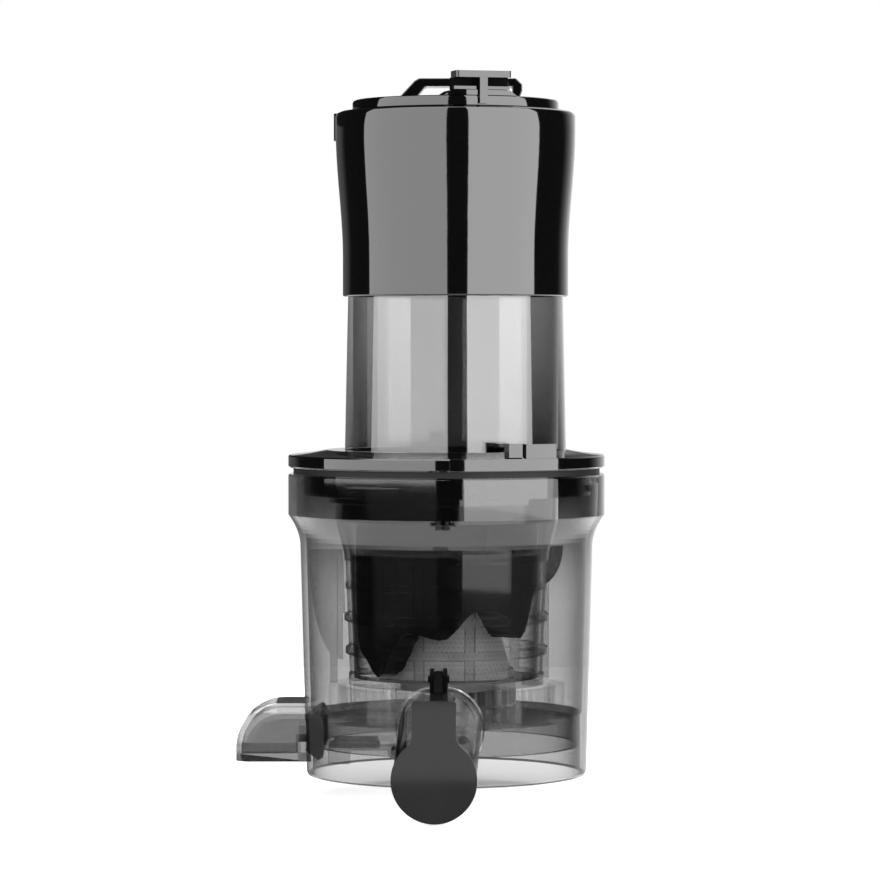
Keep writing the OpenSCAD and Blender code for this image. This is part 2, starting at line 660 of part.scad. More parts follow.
module plug_lever() color([0.15, 0.15, 0.15]) {
    tab_x = plug_x0 + 1.4;
    tab_l = 8.8;
    difference() {
        union() {
            translate([-plug_x0 - 1, -lever_w / 2, lever_z])
                cube([plug_x0 + 2 - lever_pin_x, lever_w, lever_t]);
            translate([-lever_pin_x, 0, lever_pin_z]) rotate([90, 0, 0])
                cylinder(r = 2.5, h = lever_eye_w, center = true);
            translate([-tab_x, -lever_w / 2, lever_tab_z]) cube([tab_l, lever_w, lever_z - lever_tab_z]);
        }
        translate([-lever_pin_x, 0, lever_pin_z]) rotate([90, 0, 0])
            cylinder(r = pin_r + run_gap, h = 2 * lever_eye_w, center = true);
    }
}

// ---- cover ----

module tube_bore(r) translate([tube_x, 0, cover_z - 20]) cylinder(r = r, h = 60);

module cover_plate() color([0.04, 0.04, 0.04]) difference() {
    union() {
        rotate_extrude() polygon([
            [10, cover_z], [skirt_r - skirt_wall, cover_z], [skirt_r - skirt_wall, skirt_z],
            [skirt_r, skirt_z], [skirt_r, cover_z], [cover_r - 0.6, cover_z], [cover_r, cover_z + 0.6],
            [cover_r, cover_top - 0.5], [cover_r - 0.5, cover_top], [cover_r - 8, cover_top + 0.8],
            [tube_low_r + 4, cover_top + cover_rise], [10, cover_top + cover_rise]]);
        // ring that centres the strainer
        ring(rim_r + centring_gap + 2, rim_r + centring_gap, strainer_top_z - 3.5, cover_z + 0.5);
        for (i = [0:lug_count - 1])
            arc_block(collar_r - drum_wall - slide_gap, skirt_r - 0.5, lug_z, lug_z + lug_h,
                      120 * i - lug_angle / 2, 120 * i + lug_angle / 2);
    }
    tube_bore(tube_low_r);
}

module cover_gasket() color([0.02, 0.02, 0.02]) ring(collar_r - 2, skirt_r, drum_h + 0.15, cover_z);

module feed_tube() color([0.35, 0.35, 0.36, 0.55]) translate([tube_x, 0, 0]) rotate_extrude() polygon([
    [tube_bore_r, cover_z], [tube_low_r, cover_z], [tube_low_r, cover_top + cover_rise],
    [tube_top_r, sleeve_low_z], [tube_top_r, tube_top_z], [tube_bore_r, tube_top_z]]);

// Lug along the flange's edge, with an upright tab at its right end and a small block beside the tab
module lock_tab() color([0.05, 0.05, 0.05]) {
    lug_r = cover_r + lug_out;
    tab_z = cover_top + tab_h;
    block_d = 4.5;
    arc_block(lug_r, cover_r, cover_z + 0.4, cover_top, lock_az[0], lock_az[3]);
    rotate([0, 0, lock_az[2]]) rotate_extrude(angle = lock_az[3] - lock_az[2] - 0.5) polygon([
        [cover_r + 0.2, cover_top - 0.5], [lug_r - 0.2, cover_top - 0.5], [lug_r - 0.2, tab_z],
        [cover_r - 1, tab_z], [cover_r - 1, cover_top + 0.1], [cover_r + 0.2, cover_top + 0.1]]);
    arc_block(cover_r - 0.5, cover_r - 0.5 - block_d, cover_top + 0.4, tab_z + 0.3,
              lock_az[1], lock_az[2] + 0.5);
}

// ---- hopper ----

module hopper_sleeve() color([0.06, 0.06, 0.06]) translate([tube_x, 0, 0]) {
    n = 10;
    flare_z = sleeve_low_z + 16;
    seat_z = tube_top_z + 0.2;
    out = [for (i = [0:n]) let (t = i / n)
        [sleeve_low_r + sleeve_flare * smooth(t), flare_z + (sleeve_top_z - 8 - flare_z) * t]];
    difference() {
        union() {
            rotate_extrude() polygon(concat(
                [[sleeve_bore_r, sleeve_low_z], [sleeve_low_r - 0.4, sleeve_low_z],
                 [sleeve_low_r, sleeve_low_z + 0.4]],
                out,
                [[sleeve_top_r, sleeve_top_z - 2], [sleeve_top_r - 0.6, sleeve_top_z - 0.6],
                 [sleeve_top_r - 2, sleeve_top_z], [mouth_r, sleeve_top_z], [mouth_r, seat_z],
                 [sleeve_bore_r, seat_z]]));
            // rib on the left
            intersection() {
                rotate([0, 0, 180]) translate([sleeve_top_r - 3, -rib_w / 2, sleeve_top_z - 11.4])
                    cube([3.8, rib_w, 10.8]);
                translate([0, 0, sleeve_top_z - 20]) cylinder(r = sleeve_top_r + 0.8, h = 30);
            }
            // ears of the lid's hinge
            for (s = [-1, 1]) translate([s * (knuckle_w / 2 + ear_w / 2 + slide_gap) - ear_w / 2, 0, 0])
                rotate([90, 0, 90]) linear_extrude(ear_w) {
                    translate([lid_pin_y, lid_pin_z]) circle(knuckle_r);
                    translate([lid_pin_y - knuckle_r, sleeve_top_z - 8])
                        square([2 * knuckle_r, lid_pin_z - sleeve_top_z + 8]);
                }
        }
        translate([0, 0, sleeve_low_z]) cylinder(r = sleeve_bore_r, h = seat_z - sleeve_low_z);
        translate([0, lid_pin_y, lid_pin_z]) rotate([0, 90, 0])
            cylinder(r = pin_r, h = through, center = true);
        translate([-knuckle_w / 2 - slide_gap, lid_pin_y - 4, sleeve_top_z - 2.6])
            cube([knuckle_w + 2 * slide_gap, 8, 6]);
    }
}

module lid_hinge_pin() color("silver") translate([tube_x, lid_pin_y, lid_pin_z]) rotate([0, 90, 0])
    cylinder(r = pin_r, h = knuckle_w + 2 * ear_w + 2 * slide_gap, center = true);

// ---- lid ----

module lid_disc() color([0.04, 0.04, 0.04]) translate([tube_x, 0, 0]) difference() {
    union() {
        rotate_extrude() polygon([
            [0, lid_z], [lid_r - 0.4, lid_z], [lid_r, lid_z + 0.4], [lid_r, lid_top - 1],
            [lid_r - 0.3, lid_top - 0.3], [lid_r - 1, lid_top], [0, lid_top]]);
        translate([0, lid_pin_y, lid_pin_z]) rotate([0, 90, 0])
            cylinder(r = knuckle_r - 0.3, h = knuckle_w, center = true);
        translate([-knuckle_w / 2, lid_r - 4, lid_pin_z - 1.2]) cube([knuckle_w, lid_pin_y - lid_r + 4, 2]);
    }
    translate([0, lid_pin_y, lid_pin_z]) rotate([0, 90, 0])
        cylinder(r = pin_r + run_gap, h = through, center = true);
}

module lid_gasket() color([0.02, 0.02, 0.02]) translate([tube_x, 0, 0])
    ring(mouth_r - 0.6, mouth_r - 3.2, lid_z - 2, lid_z);

module latch_frame() translate([tube_x, 0, 0]) rotate([0, 0, latch_turn]) children();

// Boss on the lid's edge, with sloping ends and a slot for the arm, and two ears for the latch's pin
module latch_housing() color([0.04, 0.04, 0.04]) latch_frame() difference() {
    boss_l = 15;
    slope = 3.5;
    union() {
        intersection() {
            translate([0, boss_l - lid_r, lid_top]) rotate([90, 0, 0]) linear_extrude(boss_l + 1) polygon([
                [-latch_w / 2 - slope, 0], [-latch_w / 2 - 0.4, boss_h], [latch_w / 2 + 0.4, boss_h],
                [latch_w / 2 + slope, 0]]);
            translate([0, 0, lid_top - 1]) cylinder(r = lid_r - 0.1, h = boss_h + 2);
        }
        for (s = [-1, 1]) translate([s * (web_w / 2 + 0.5 + latch_ear_w / 2) - latch_ear_w / 2, 0, 0])
            rotate([90, 0, 90]) linear_extrude(latch_ear_w) {
                translate([-latch_pin_y, latch_pin_z]) circle(latch_ear_r);
                translate([-latch_pin_y - latch_ear_r, lid_top])
                    square([2 * latch_ear_r, latch_pin_z - lid_top]);
            }
    }
    translate([-web_w / 2 - 0.5, -latch_pin_y - 4, lid_top - 1]) cube([web_w + 1, 10, plate_h]);
    translate([0, -latch_pin_y, latch_pin_z]) rotate([0, 90, 0])
        cylinder(r = pin_r, h = through, center = true);
}

module latch_pin() color("silver") latch_frame() translate([0, -latch_pin_y, latch_pin_z])
    rotate([0, 90, 0]) cylinder(r = pin_r, h = web_w + 1 + 2 * latch_ear_w, center = true);

// A plate with a tongue in front of the lid's edge, on a block that an arm joins to the pin
module lid_latch() color([0.04, 0.04, 0.04]) latch_frame() {
    plate_t = 2.6;
    plate_d = 9.4;
    plate_z = lid_top + plate_h;
    plate_front = lid_r + 2.4;
    lip_z = lid_top + boss_h + 0.2;
    lip_t = 1.2;
    lip_front = lid_r - 0.6;
    block_front = lid_r - 3.4;
    block_back = latch_pin_y + 4.4;
    tongue_w = 3.1;
    tongue_t = 2;
    tongue_z = lid_z + 0.9;
    difference() {
        union() {
            translate([0, -plate_front + plate_d / 2, 0]) rotate([0, 0, 90])
                slot_block(-plate_d / 2, plate_d / 2, latch_w, plate_z, plate_z + plate_t, 1.4);
            translate([-latch_w / 2, -block_front, lip_z])
                cube([latch_w, block_front - block_back, plate_z + 0.2 - lip_z]);
            translate([-latch_w / 2, -lip_front, lip_z]) cube([latch_w, lip_front - block_back, lip_t]);
            translate([-tongue_w / 2, -plate_front + 0.2, tongue_z])
                cube([tongue_w, tongue_t, plate_z + 0.4 - tongue_z]);
            translate([-web_w / 2, -block_back - 1, latch_pin_z - 0.5])
                cube([web_w, block_back + 1 - latch_pin_y + 2.4, plate_z - latch_pin_z + 0.5]);
            translate([0, -latch_pin_y, latch_pin_z]) rotate([0, 90, 0])
                cylinder(r = 2.4, h = web_w, center = true);
        }
        translate([0, -latch_pin_y, latch_pin_z]) rotate([0, 90, 0])
            cylinder(r = pin_r + run_gap, h = through, center = true);
    }
}

// Grip loop over the disc, as a bent strap
module lid_grip() color([0.04, 0.04, 0.04]) translate([tube_x + 3, grip_w / 2, lid_top])
    rotate([90, 0, 0]) linear_extrude(grip_w) {
        strap = 3.2;
        x0 = -grip_l / 2;
        x1 = grip_l / 2;
        difference() {
            polygon([[x0 - 3, 0], [x0 + 4.2, grip_h - 1], [x0 + 6, grip_h], [x1 - 2.5, grip_h],
                     [x1, grip_h - 2.5], [x1, grip_h - 5], [x1 - 1.5, 0]]);
            polygon([[x0 + 4, -1], [x0 + 4, 0], [x0 + 8.5, grip_h - strap], [x1 - 4, grip_h - strap],
                     [x1 - 4, -1]]);
        }
    }

// ---- spout cap ----

// Outline of the cap: a disc with a neck that grows out of it in two round corners
module cap_outline() {
    corner_r = 6;
    neck_x = cap_neck_w / 2;
    corner_z = sqrt(pow(cap_r + corner_r, 2) - pow(neck_x + corner_r, 2));
    neck_z = cap_top_z - mouth_z;
    circle(cap_r);
    for (s = [-1, 1]) difference() {
        polygon([[0, 0], [s * (neck_x + corner_r), corner_z], [0, corner_z]]);
        translate([s * (neck_x + corner_r), corner_z]) circle(corner_r);
    }
    translate([-neck_x, 0]) square([cap_neck_w, neck_z - 1]);
    translate([-neck_x + 1, 0]) square([cap_neck_w - 2, neck_z]);
    for (s = [-1, 1]) translate([s * (neck_x - 1), neck_z - 1]) circle(1, $fn = 24);
}

module spout_cap() color([0.16, 0.16, 0.17]) spout_frame() difference() {
    union() {
        translate([cap_back, 0, mouth_z]) rotate([90, 0, 90]) linear_extrude(cap_t) cap_outline();
        // arm back to the hinge, and the eye on the pin
        translate([cap_pin_x + 6, -cap_neck_w / 2 + 1.5, cap_top_z - arm_t])
            cube([cap_back - cap_pin_x - 5, cap_neck_w - 3, arm_t]);
        translate([0, stem_w / 2, 0]) rotate([90, 0, 0]) linear_extrude(stem_w) {
            translate([cap_pin_x, cap_pin_z]) circle(cap_eye_r);
            polygon([[cap_pin_x - 1, cap_pin_z - cap_eye_r + 0.2], [cap_pin_x + 8, cap_top_z - arm_t],
                     [cap_pin_x + 12, cap_top_z - 0.2], [cap_pin_x + 8, cap_top_z + 0.8],
                     [cap_pin_x + 1, cap_pin_z + cap_eye_r - 0.2]]);
        }
    }
    translate([cap_pin_x, 0, cap_pin_z]) rotate([90, 0, 0])
        cylinder(r = pin_r + run_gap, h = through, center = true);
}

module spout_cap_seal() color([0.05, 0.05, 0.05]) spout_frame() translate([0, 0, mouth_z])
    rotate([0, 90, 0]) {
        translate([0, 0, spout_reach + 0.2]) cylinder(r = cap_r - 1, h = cap_back - spout_reach - 0.2);
        // nose that goes into the spout
        translate([0, 0, spout_reach - 1.8]) cylinder(r = spout_r - spout_wall - 3.9, h = 2.2);
    }

drum_shell();
drum_deck();
pulp_trough();
juice_spout();
pulp_chute();
spout_hinge_post();
spout_hinge_pin();
shaft_seal();
idler_pin();
plug_hinge_pin();
strainer_frame();
strainer_screen();
idler_gear();
auger_screw();
auger_core();
auger_shaft();
auger_gear();
wiper_ring();
wiper_blades();
pulp_plug();
plug_lever();
cover_plate();
cover_gasket();
feed_tube();
lock_tab();
hopper_sleeve();
lid_hinge_pin();
lid_disc();
lid_gasket();
lid_grip();
latch_housing();
latch_pin();
lid_latch();
spout_cap();
spout_cap_seal();
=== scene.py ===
"""Looks of a slow juicer's drum assembly.

The smoke-clear drum, with its spout and chute, holds the strainer, the wiper and the auger. The
cover with the feed tube turns onto the drum, and the hopper with its lid slides over the tube.
Lengths are in metres. Directions start at the front, where the camera stands, and are in degrees
to its right.
"""

import math

import bmesh
import bpy
from mathutils import Matrix, Vector


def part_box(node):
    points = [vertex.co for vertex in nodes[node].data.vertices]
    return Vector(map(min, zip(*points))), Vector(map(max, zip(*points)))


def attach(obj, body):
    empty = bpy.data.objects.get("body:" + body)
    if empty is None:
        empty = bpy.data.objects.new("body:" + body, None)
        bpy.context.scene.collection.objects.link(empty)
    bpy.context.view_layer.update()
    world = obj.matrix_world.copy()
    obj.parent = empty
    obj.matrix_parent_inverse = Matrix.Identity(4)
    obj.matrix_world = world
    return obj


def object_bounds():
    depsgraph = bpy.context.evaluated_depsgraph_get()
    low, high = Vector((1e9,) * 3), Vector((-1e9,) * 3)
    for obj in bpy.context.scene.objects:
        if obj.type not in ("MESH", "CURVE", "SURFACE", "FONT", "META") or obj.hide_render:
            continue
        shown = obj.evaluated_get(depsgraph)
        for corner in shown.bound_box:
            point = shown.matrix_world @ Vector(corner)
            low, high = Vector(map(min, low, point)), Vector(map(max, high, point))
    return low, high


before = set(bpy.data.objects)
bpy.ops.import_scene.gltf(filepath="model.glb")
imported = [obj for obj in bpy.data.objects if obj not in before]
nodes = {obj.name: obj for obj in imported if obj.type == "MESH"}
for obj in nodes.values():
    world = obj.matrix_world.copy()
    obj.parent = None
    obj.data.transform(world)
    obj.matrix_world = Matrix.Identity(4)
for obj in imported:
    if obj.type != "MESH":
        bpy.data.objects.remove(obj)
bpy.context.view_layer.update()
cad_low, cad_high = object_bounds()

DEGREE = math.pi / 180


def new_object(name, data):
    """An object in the scene, made from its mesh or camera."""
    thing = bpy.data.objects.new(name, data)
    bpy.context.scene.collection.objects.link(thing)
    return thing


def mesh_of(name, shape):
    """The mesh of a finished bmesh, which is freed."""
    mesh = bpy.data.meshes.new(name)
    shape.to_mesh(mesh)
    shape.free()
    return mesh


# ---- the camera ----

EYE = Vector((-0.0026, -1.528, 0.1746))
EYE_TILT = math.radians(1.5345)
SENSOR_WIDTH = 36
FOCAL_LENGTH = 156.38
NEAREST, FARTHEST = 0.1, 20


def add_camera():
    """A long lens at the height of the feed tube, turned down a little."""
    data = bpy.data.cameras.new("camera")
    data.sensor_width = SENSOR_WIDTH
    data.lens = FOCAL_LENGTH
    data.clip_start = NEAREST
    data.clip_end = FARTHEST
    camera = new_object("camera", data)
    camera.location = EYE
    camera.rotation_euler = (math.pi / 2 - EYE_TILT, 0, 0)
    bpy.context.scene.camera = camera


# ---- shader maths ----


class Wire:
    """A node's output. Python's operators on it add Math nodes to its tree."""

    def __init__(self, board, socket):
        self.board = board
        self.socket = socket

    def math(self, operation, *others):
        """A Math node of this wire and the other values."""
        values = dict(enumerate((self, *others)))
        return self.board.add("ShaderNodeMath", values, operation=operation)

    def __add__(self, other):
        return self.math("ADD", other)

    def __sub__(self, other):
        return self.math("SUBTRACT", other)

    def __mul__(self, other):
        return self.math("MULTIPLY", other)

    def __truediv__(self, other):
        return self.math("DIVIDE", other)

    def __pow__(self, other):
        return self.math("POWER", other)

    def __rsub__(self, other):
        return (self * -1) + other

    __radd__ = __add__
    __rmul__ = __mul__

    def over(self, edge, soft):
        """1 above the edge and 0 below it, with a smooth step of the given width."""
        values = {"Value": self, "From Min": edge - soft / 2, "From Max": edge + soft / 2}
        return self.board.add("ShaderNodeMapRange", values, interpolation_type="SMOOTHSTEP")

    def under(self, edge, soft):
        """1 below the edge and 0 above it."""
        return 1 - self.over(edge, soft)

    def between(self, low, high, soft):
        """1 between two edges and 0 past them."""
        return self.over(low, soft) * self.under(high, soft)

    def sibling(self, output):
        """Another output of the same node."""
        return Wire(self.board, self.socket.node.outputs[output])


class Board:
    """Adds nodes to one node tree."""

    def __init__(self, tree):
        self.tree = tree

    def add(self, kind, values=None, output=0, **settings):
        """A new node: its settings are set first, then its inputs, to values or other wires."""
        node = self.tree.nodes.new(kind)
        for name, value in settings.items():
            setattr(node, name, value)
        for key, value in (values or {}).items():
            self.put(node.inputs[key], value)
        return Wire(self, node.outputs[output]) if len(node.outputs) else node

    def put(self, socket, value):
        if isinstance(value, Wire):
            self.tree.links.new(value.socket, socket)
        else:
            socket.default_value = value


def grey(value):
    return (value, value, value, 1)


def new_material(name):
    """An empty material with its board."""
    material = bpy.data.materials.new(name)
    material.use_nodes = True
    material.node_tree.nodes.clear()
    return material, Board(material.node_tree)


def finish_material(material, board, surface):
    """Gives a material its surface."""
    board.add("ShaderNodeOutputMaterial", {"Surface": surface})
    return material


def place_of(board):
    """Object coordinates, in metres."""
    return board.add("ShaderNodeTexCoord", output="Object")


def noise(board, scale, detail, stretch=(1, 1, 1)):
    """Noise of a given scale per metre, stretched along an axis by a low number."""
    turned = board.add("ShaderNodeMapping", {"Vector": place_of(board), "Scale": stretch})
    values = {"Vector": turned, "Scale": scale, "Detail": detail}
    return board.add("ShaderNodeTexNoise", values)


def bumped(board, height, strength, distance):
    """A normal tilted by a height, which is as tall as the distance where it is 1."""
    values = {"Height": height, "Strength": strength, "Distance": distance}
    return board.add("ShaderNodeBump", values)


# The sockets that a Mix node has for colours
MIX_FACTOR, MIX_FIRST, MIX_SECOND, MIX_RESULT = 0, 6, 7, 2


def varied(board, factor, colour, low, high):
    """A grey that varies between two shares of itself."""
    values = {MIX_FACTOR: factor, MIX_FIRST: grey(colour * low), MIX_SECOND: grey(colour * high)}
    return board.add("ShaderNodeMix", values, output=MIX_RESULT, data_type="RGBA")


def solid_surface(board, values):
    return board.add("ShaderNodeBsdfPrincipled", values)


def clear_surface(board, tint):
    return board.add("ShaderNodeBsdfTransparent", {"Color": grey(tint)})


def mixed_surface(board, share, first, second):
    """Two surfaces in one, with the share that the second has."""
    return board.add("ShaderNodeMixShader", {0: share, 1: first, 2: second})


# ---- zones, for pigment that a piece has only in places ----
# A zone takes the board of a material, and gives 1 inside and 0 outside.


def part_of_place(board, axis):
    """One object coordinate, in metres, by the name of its axis."""
    return board.add("ShaderNodeSeparateXYZ", {0: place_of(board)}, output=axis)


def above(height):
    return lambda board: part_of_place(board, "Z").math("GREATER_THAN", height)


def below(height):
    return lambda board: part_of_place(board, "Z").math("LESS_THAN", height)


def right_of(x):
    return lambda board: part_of_place(board, "X").math("GREATER_THAN", x)


def left_of(x):
    return lambda board: part_of_place(board, "X").math("LESS_THAN", x)


def behind(y):
    return lambda board: part_of_place(board, "Y").math("GREATER_THAN", y)


def both(zone, other):
    return lambda board: zone(board) * other(board)


def nearer_axis(distance, turn, centre_x):
    """The axis side of an upright plane, which faces the given direction from centre_x."""
    side, front = math.sin(turn * DEGREE), math.cos(turn * DEGREE)

    def zone(board):
        sideways = (part_of_place(board, "X") - centre_x) * side
        return (sideways - part_of_place(board, "Y") * front).math("LESS_THAN", distance)

    return zone


# ---- finishes ----

# Noises of the surfaces: moulding leaves flow marks and ripples that are taller than wide, and
# grinding leaves long upright lines
FLOW = {"scale": 60, "detail": 3, "stretch": (1, 1, 0.3)}
RIPPLE = {"scale": 45, "detail": 1, "stretch": (1, 1, 0.4)}
GRAIN = {"scale": 2600, "detail": 2}
GRIND = {"scale": 900, "detail": 3, "stretch": (1, 1, 0.05)}
BLOOM = {"scale": 300, "detail": 4}
PORES = {"scale": 1500, "detail": 2}
# How tall a bump is where its height is 1, and how much of the ripple a clear wall has
MOULD_BUMP = 0.0002
FINE_BUMP = 0.0001
CLEAR_RIPPLE = 0.3
# The power of the slant that a clear wall's mirroring follows
MIRROR_POWER = 5
# The colour of black plastic
BLACK = 0.0012


def moulded(name, colour, rough, ior, ripple=0.0, grain=0.0, dark_zone=None):
    """Injection-moulded plastic: flow marks in its gloss, ripples, and a fine grain if matt.

    In its dark_zone it is painted dull black: painted shade, for the shaded side of a stem or block.
    """
    material, board = new_material(name)
    flow = noise(board, **FLOW)
    height = noise(board, **RIPPLE) * ripple
    if grain:
        height = height + noise(board, **GRAIN) * grain
    values = {
        "Base Color": varied(board, flow, colour, low=0.9, high=1.1),
        "Roughness": rough + flow * 0.5 * rough,
        "IOR": ior,
        "Normal": bumped(board, height, strength=1.0, distance=MOULD_BUMP),
    }
    surface = solid_surface(board, values)
    # Painted shade: the dark_zone is a dull black with little gloss, for a side that lies in shade.
    if dark_zone:
        dull = {"Base Color": grey(BLACK), "Roughness": 0.6, "IOR": 1.15}
        surface = mixed_surface(board, dark_zone(board), surface, solid_surface(board, dull))
    return finish_material(material, board, surface)


def smoked(name, tint, edge_tint, mirror, edge_power=4, glance=1.0, dark_zone=None, zones=()):
    """Clear smoke plastic: each wall lets its tint through and mirrors the studio.

    edge_tint is what gets through at a slant, and edge_power how near its outline a piece
    darkens to it. mirror is how much a wall mirrors face on, and glance at a slant. In its
    dark_zone it is black, and each of the zones lets its own tint through: some for a thinner or
    thicker wall, and some as painted shade.
    """
    material, board = new_material(name)
    slant = board.add("ShaderNodeLayerWeight", {"Blend": 0.5}, output="Facing")
    ripple = noise(board, **RIPPLE) * CLEAR_RIPPLE
    face_on, slanted = clear_surface(board, tint), clear_surface(board, edge_tint)
    through = mixed_surface(board, slant**edge_power, face_on, slanted)
    for zone, zone_tint in zones:
        through = mixed_surface(board, zone(board), through, clear_surface(board, zone_tint))
    if dark_zone:
        black = solid_surface(board, {"Base Color": grey(0.002), "Roughness": 0.1})
        through = mixed_surface(board, dark_zone(board), through, black)
    values = {
        "Base Color": grey(1),
        "Metallic": 1.0,
        "Roughness": 0.03,
        "Normal": bumped(board, ripple, strength=1.0, distance=MOULD_BUMP),
    }
    share = mirror + (1 - mirror) * glance * slant**MIRROR_POWER
    surface = mixed_surface(board, share, through, solid_surface(board, values))
    return finish_material(material, board, surface)


def brushed(name, colour, rough):
    """Ground steel with fine upright lines."""
    material, board = new_material(name)
    lines = noise(board, **GRIND)
    values = {
        "Base Color": varied(board, lines, colour, low=0.85, high=1.1),
        "Metallic": 1.0,
        "Roughness": rough + lines * 0.15,
        "Normal": bumped(board, lines, strength=0.4, distance=FINE_BUMP),
    }
    return finish_material(material, board, solid_surface(board, values))


def rubber(name, colour, rough, clear=0.0):
    """Silicone: soft gloss, a dusty bloom and, if clear, some light through it."""
    material, board = new_material(name)
    bloom = noise(board, **BLOOM)
    values = {
        "Base Color": varied(board, bloom, colour, low=0.85, high=1.15),
        "Roughness": rough + bloom * 0.2,
        "IOR": 1.42,
        "Normal": bumped(board, noise(board, **PORES), strength=0.3, distance=FINE_BUMP),
    }
    surface = solid_surface(board, values)
    if clear:
        surface = mixed_surface(board, clear, surface, clear_surface(board, tint=0.9))
    return finish_material(material, board, surface)


# ---- the studio ----

PANEL_R = 0.7
PANEL_TOP = 1.4
PANEL_STEPS = 24
# The dark gap between the left and the right lights, and the foot of the bright one at the right
GAP_LEFT, GAP_RIGHT = -8, 12
RIGHT_FOOT = 0.0365
# The room that clear walls and gloss see: the lower edge of its front, as a height in degrees,
# and the direction past which its back begins
FRONT_LOW = -7.2
BACK = 176
# Two thin bright strips on the back wall, in degrees right of straight behind
LEFT_STRIP = (-1.09, -0.44)
RIGHT_STRIP = (0.89, 1.22)
STRIP_SOFT = 0.02
# How bright each part of the room is, where 1 is white
FRONT_LEFT_LIGHT, FRONT_RIGHT_LIGHT = 0.05, 0.12
WALL_LEFT_LIGHT, WALL_RIGHT_LIGHT = 0.14, 0.95
TABLE_LIGHT, NEAR_TABLE_LIGHT = 1.05, 1.3
BAND_LIGHT, STRIP_LIGHT, BACK_LIGHT = 0.6, 0.45, 0.04
CEILING_LIGHT = 2.5
ROOM_GLOW = 0.02
# Clear walls that a ray may pass through
CLEAR_WALLS = 40


def add_light_panel(name, start, stop, low, strength, high=PANEL_TOP, radius=PANEL_R):
    """A tall light curved round the drum, between two directions."""
    shape = bmesh.new()
    columns = []
    for i in range(PANEL_STEPS + 1):
        turn = (start + (stop - start) * i / PANEL_STEPS) * DEGREE
        x, y = radius * math.sin(turn), -radius * math.cos(turn)
        columns.append([shape.verts.new((x, y, z)) for z in (low, high)])
    for left, right in zip(columns, columns[1:]):
        shape.faces.new((left[0], right[0], right[1], left[1]))
    panel = new_object(name, mesh_of(name, shape))
    material, board = new_material(name)
    light = board.add("ShaderNodeEmission", {"Color": grey(1), "Strength": strength})
    panel.data.materials.append(finish_material(material, board, light))
    panel.visible_camera = False
    panel.visible_shadow = False


def add_lights():
    """Two tall lights with a gap between them, a dim foot at the right, and a low one for the cap."""
    add_light_panel("light_left", start=-95.5, stop=GAP_LEFT, low=0.094, strength=2.0)
    add_light_panel("light_right", start=GAP_RIGHT, stop=84.5, low=RIGHT_FOOT, strength=3.0)
    foot = {"low": 0.0, "high": RIGHT_FOOT, "strength": 0.9}
    add_light_panel("light_right_foot", start=GAP_RIGHT, stop=50, **foot)
    cap_light = {"low": -0.0145, "high": 0.019, "radius": 0.3, "strength": 0.33}
    add_light_panel("light_low", start=-10, stop=1, **cap_light)


def room_light(board):
    """A dim room with a pale table, a bright back wall and a lit ceiling, as a strength."""
    direction = board.add("ShaderNodeTexCoord", output="Generated")
    x = board.add("ShaderNodeSeparateXYZ", {0: direction}, output="X")
    y, z = x.sibling("Y"), x.sibling("Z")
    side = x.math("ARCTAN2", y * -1) / DEGREE
    far_side = side.math("ABSOLUTE")
    back_side = x.math("ARCTAN2", y) / DEGREE
    height = z.math("ARCSINE") / DEGREE

    front_left = side.between(-60, GAP_LEFT, soft=1) * height.between(FRONT_LOW, -2.2, soft=0.6)
    front_right = side.between(GAP_RIGHT, 88, soft=1) * height.between(FRONT_LOW, -3.7, soft=0.6)
    wall_left = side.between(-BACK, -140, soft=16) * height.under(4.6, soft=1)
    wall_right = side.over(146, soft=42) * side.under(BACK, soft=3)
    table = height.under(-3.15, soft=1.8) * far_side.over(174, soft=6)
    near_table = height.under(-16, soft=10)
    ceiling = height.over(58, soft=12)
    back_wall = far_side.over(BACK, soft=3) * height.between(-1.8, 12, soft=0.8)

    left_strip = back_side.between(*LEFT_STRIP, soft=STRIP_SOFT)
    right_strip = back_side.between(*RIGHT_STRIP, soft=STRIP_SOFT)
    strips = left_strip + right_strip
    past_left = back_side.under(LEFT_STRIP[0], soft=STRIP_SOFT)
    past_right = back_side.over(RIGHT_STRIP[1], soft=STRIP_SOFT)
    low_band = height.over(-0.6, soft=2.6) * height.under(4, soft=1)
    wall_light = (strips + (past_left + past_right)) * low_band * BAND_LIGHT
    wall_light = wall_light + strips * STRIP_LIGHT + BACK_LIGHT

    light = front_left * FRONT_LEFT_LIGHT + front_right * FRONT_RIGHT_LIGHT
    light = light + wall_right * WALL_RIGHT_LIGHT + wall_left * WALL_LEFT_LIGHT
    light = light + table * TABLE_LIGHT + near_table * NEAR_TABLE_LIGHT
    return light + back_wall * wall_light + ceiling * CEILING_LIGHT + ROOM_GLOW


def camera_rays(board):
    """1 for the camera's own rays, and 1 for rays that have passed through a clear wall."""
    straight = board.add("ShaderNodeLightPath", output="Is Camera Ray")
    return straight, straight.sibling("Transparent Depth").math("GREATER_THAN", 0.5)


def add_studio():
    """A background plain white to the camera, with the room in reflections and clear walls."""
    world = bpy.data.worlds.new("studio")
    world.use_nodes = True
    bpy.context.scene.world = world
    world.node_tree.nodes.clear()
    board = Board(world.node_tree)
    light = room_light(board)
    straight, passed = camera_rays(board)
    strength = light + straight * (1 - passed) * (1 - light)
    back = board.add("ShaderNodeBackground", {"Color": grey(1), "Strength": strength})
    board.add("ShaderNodeOutputWorld", {"Surface": back})
    bpy.context.scene.view_settings.view_transform = "Standard"
    bpy.context.scene.cycles.transparent_max_bounces = CLEAR_WALLS
    add_lights()


FLOOR_R = 0.6
FLOOR_SIDES = 96
FLOOR_GAP = 0.0002
FLOOR_COLOUR = 0.7
# How much the floor glows to the camera, and how much less behind a clear wall
FLOOR_GLOW, FLOOR_DIM = 0.8, 0.43


